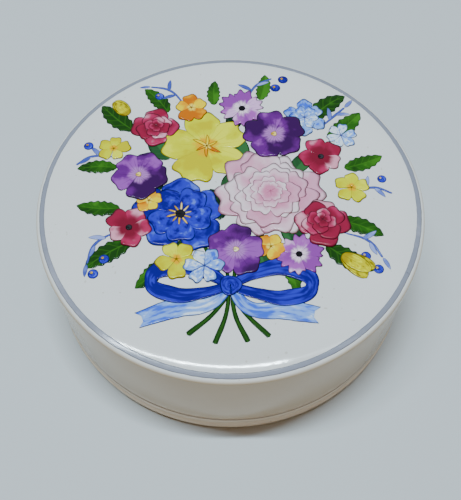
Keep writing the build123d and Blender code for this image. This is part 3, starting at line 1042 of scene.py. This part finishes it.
dots("anemone_heart", [(-14, -6, 0, 1.0, 19)], near_black, 1.5, wave=0.06, waves=5 * pi,
     columns=33)
round_flower("large_yellow", [(-7, 18, 100, 1.0, 10)], lemon, petals=5, length=13.0, spread=41,
             full=0.36, power=4.0, wave=0.05, waves=9, columns=23, lines=15, seed=10)
long_flower("yellow_stamens", [(-7, 18, 60 * k + 20, 0.8 + 0.15 * (k % 3), 16, 20)
                               for k in range(6)],
            orange, length=4.6, width=0.55, base=0.5, tip=0.7, columns=5, lines=11)

# ---- Violets, anemones and small roses round them ----
violet_spots = ((13, 22.5, 95, 1.0), (-26.5, 7.5, 130, 0.92), (1.5, -17.5, 85, 0.92))
round_flower("violets", [(x, y, turn, size, 20) for x, y, turn, size in violet_spots], violet,
             petals=5, length=8.8, spread=47, full=0.40, power=3.5, wave=0.05, waves=8, columns=19,
             lines=13, seed=3)
dots("violet_eyes", [(x, y, 0, size, 26) for x, y, turn, size in violet_spots], cream, 0.9,
     wave=0.1, waves=3 * pi, seed=3)
for number, (x, y, size) in enumerate(((25.5, -8.5, 1.1), (-22.5, 25, 1.0)), start=1):
    round_flower("rose_%d" % number, [
        (x, y, 90, size, 18), (x, y + 0.2, 30, size * 0.78, 20),
        (x + 0.1, y + 0.5, 75, size * 0.55, 22), (x + 0.1, y + 0.7, 10, size * 0.34, 24)],
        rose, petals=4, length=7.0, spread=52, full=0.42, wave=0.05, columns=17, seed=16 + number)
pink_spots = ((26.5, 14, 40), (-28, -10.5, 70))
round_flower("pink_anemones", [(x, y, turn, 1.0, 16) for x, y, turn in pink_spots], rose,
             petals=5, length=6.4, spread=46, full=0.38, wave=0.06, columns=17, seed=18)
mauve_spots = ((3.5, 32.5, 80, 1.0), (18.5, -19, 20, 0.9))
round_flower("mauve_flowers", [(x, y, turn, size, 17) for x, y, turn, size in mauve_spots], mauve,
             petals=6, length=6.8, spread=36, full=0.36, power=4.0, wave=0.10, waves=10,
             columns=19, seed=14)
dots("dark_eyes", [(x, y, 0, 1.0, 24) for x, y, *others in pink_spots + mauve_spots],
     near_black, 0.95)

# ---- Primroses, orange blossom, pale bells and two buds in the gaps ----
round_flower("primroses", [(-14.5, -20.5, 50, 1.0, 18), (34.5, 3, 10, 0.9, 18),
                           (-34.5, 17, 80, 0.8, 18)],
             lemon, length=5.8, spread=42, full=0.42, wave=0.05, seed=11)
round_flower("orange_blossom", [(-12, 33, 100, 1.0, 19), (11, -16.5, 60, 0.85, 17),
                                (-23, -1.5, 20, 0.75, 19)],
             orange, length=5.2, spread=46, full=0.4, seed=2)
round_flower("pale_bells", [(22.5, 29, 90, 1.0, 15), (22.5, 29, 55, 0.7, 16),
                            (-7, -22.5, 60, 0.8, 22), (33, 22, 15, 0.7, 15)],
             sky, petals=6, length=6.6, spread=33, full=0.40, wave=0.05, columns=15, seed=33)
long_flower("buds", [(30, -19, 318, 1.0, 7, -16), (30, -19.5, 334, 1.0, 8, 10),
                     (30, -19, 326, 0.95, 9, 0), (-31, 30, 140, 0.8, 7, -16),
                     (-31, 30, 122, 0.8, 8, 10), (-31, 30, 131, 0.75, 9, 0)],
            ochre, length=9.5, width=2.5, base=0.5, tip=0.55, columns=11, seed=21)


# ==== Stage ================================================================================
# A plain pale floor, a row of soft tubes almost overhead, a small glint from the right, a warm
# fill from the front, and a room that is pale to look at and lights the box a little warmly.

floor_half = 1.2
floor = bpy.data.meshes.new("floor")
floor.from_pydata([(x, y, 0) for x, y in ((-floor_half, -floor_half), (floor_half, -floor_half),
                                          (floor_half, floor_half), (-floor_half, floor_half))],
                  [], [(0, 1, 2, 3)])
ground = bpy.data.objects.new("floor", floor)
bpy.context.scene.collection.objects.link(ground)
material, tree, shader = new_material("floor_white")
shader.inputs["Base Color"].default_value = (0.59, 0.64, 0.68, 1)
shader.inputs["Roughness"].default_value = 0.9
shader.inputs["Specular IOR Level"].default_value = 0.1
floor.materials.append(material)

world = bpy.data.worlds.new("room")
world.use_nodes = True
room = world.node_tree
pale = room.nodes["Background"]
pale.inputs["Color"].default_value = (0.60, 0.64, 0.68, 1)
pale.inputs["Strength"].default_value = 0.5
glow = room.nodes.new("ShaderNodeBackground")
glow.inputs["Color"].default_value = (1.0, 0.60, 0.30, 1)
glow.inputs["Strength"].default_value = 0.17
either = room.nodes.new("ShaderNodeMixShader")
soft_light = step(room, "ShaderNodeLightPath", output="Is Diffuse Ray")
for port, part in zip(either.inputs, (soft_light, Wire(pale.outputs[0]), Wire(glow.outputs[0]))):
    plug(part, port)
plug(Wire(either.outputs[0]), room.nodes["World Output"].inputs["Surface"])
bpy.context.scene.world = world


def lamp(name, spot, target, size, watts, colour):
    data = bpy.data.lights.new(name, "AREA")
    data.shape = "RECTANGLE"
    data.size, data.size_y = size
    data.energy = watts
    data.color = colour
    light = bpy.data.objects.new(name, data)
    bpy.context.scene.collection.objects.link(light)
    light.location = spot
    light.rotation_euler = (Vector(target) - Vector(spot)).to_track_quat("-Z", "Y").to_euler()


lean = 0.043                               # how far each lamp hangs back, for its height
for name, middle, length, height, watts in (("tube_middle", 0.0, 0.50, 1.5, 21.7),
                                            ("tube_left", -0.44, 0.44, 1.5, 9),
                                            ("tube_right", 0.60, 0.60, 1.5, 0.9)):
    lamp(name, (middle, lean * height, height), (middle, 0, 0), (length, 0.04), watts,
         (0.75, 0.915, 1.0))
lamp("glint", (0.75, -0.32, 1.5), (0, 0, 0.03), (0.10, 0.05), 0.25, (1.0, 0.85, 0.6))
lamp("warm_fill", (0, -1.1, 0.5), (0, 0, 0.02), (1.0, 0.4), 1.1, (1.0, 0.50, 0.15))

# ---- Camera: standing height, looking down at the lid from the front ----
reach = land_outer * mm
elevation = radians(60.71)
aim = Vector((0, 0, 1.52 * mm))
stand = 4.283 * reach
eye = bpy.data.cameras.new("camera")
eye.lens = 50.4
eye.sensor_width = 36
eye.clip_start = 0.01
camera = bpy.data.objects.new("camera", eye)
bpy.context.scene.collection.objects.link(camera)
camera.location = aim + Vector((0, -cos(elevation), sin(elevation))) * stand
tilt = radians(0.93)
camera.rotation_euler = (pi / 2 - elevation + tilt, 0, 0)
bpy.context.scene.camera = camera
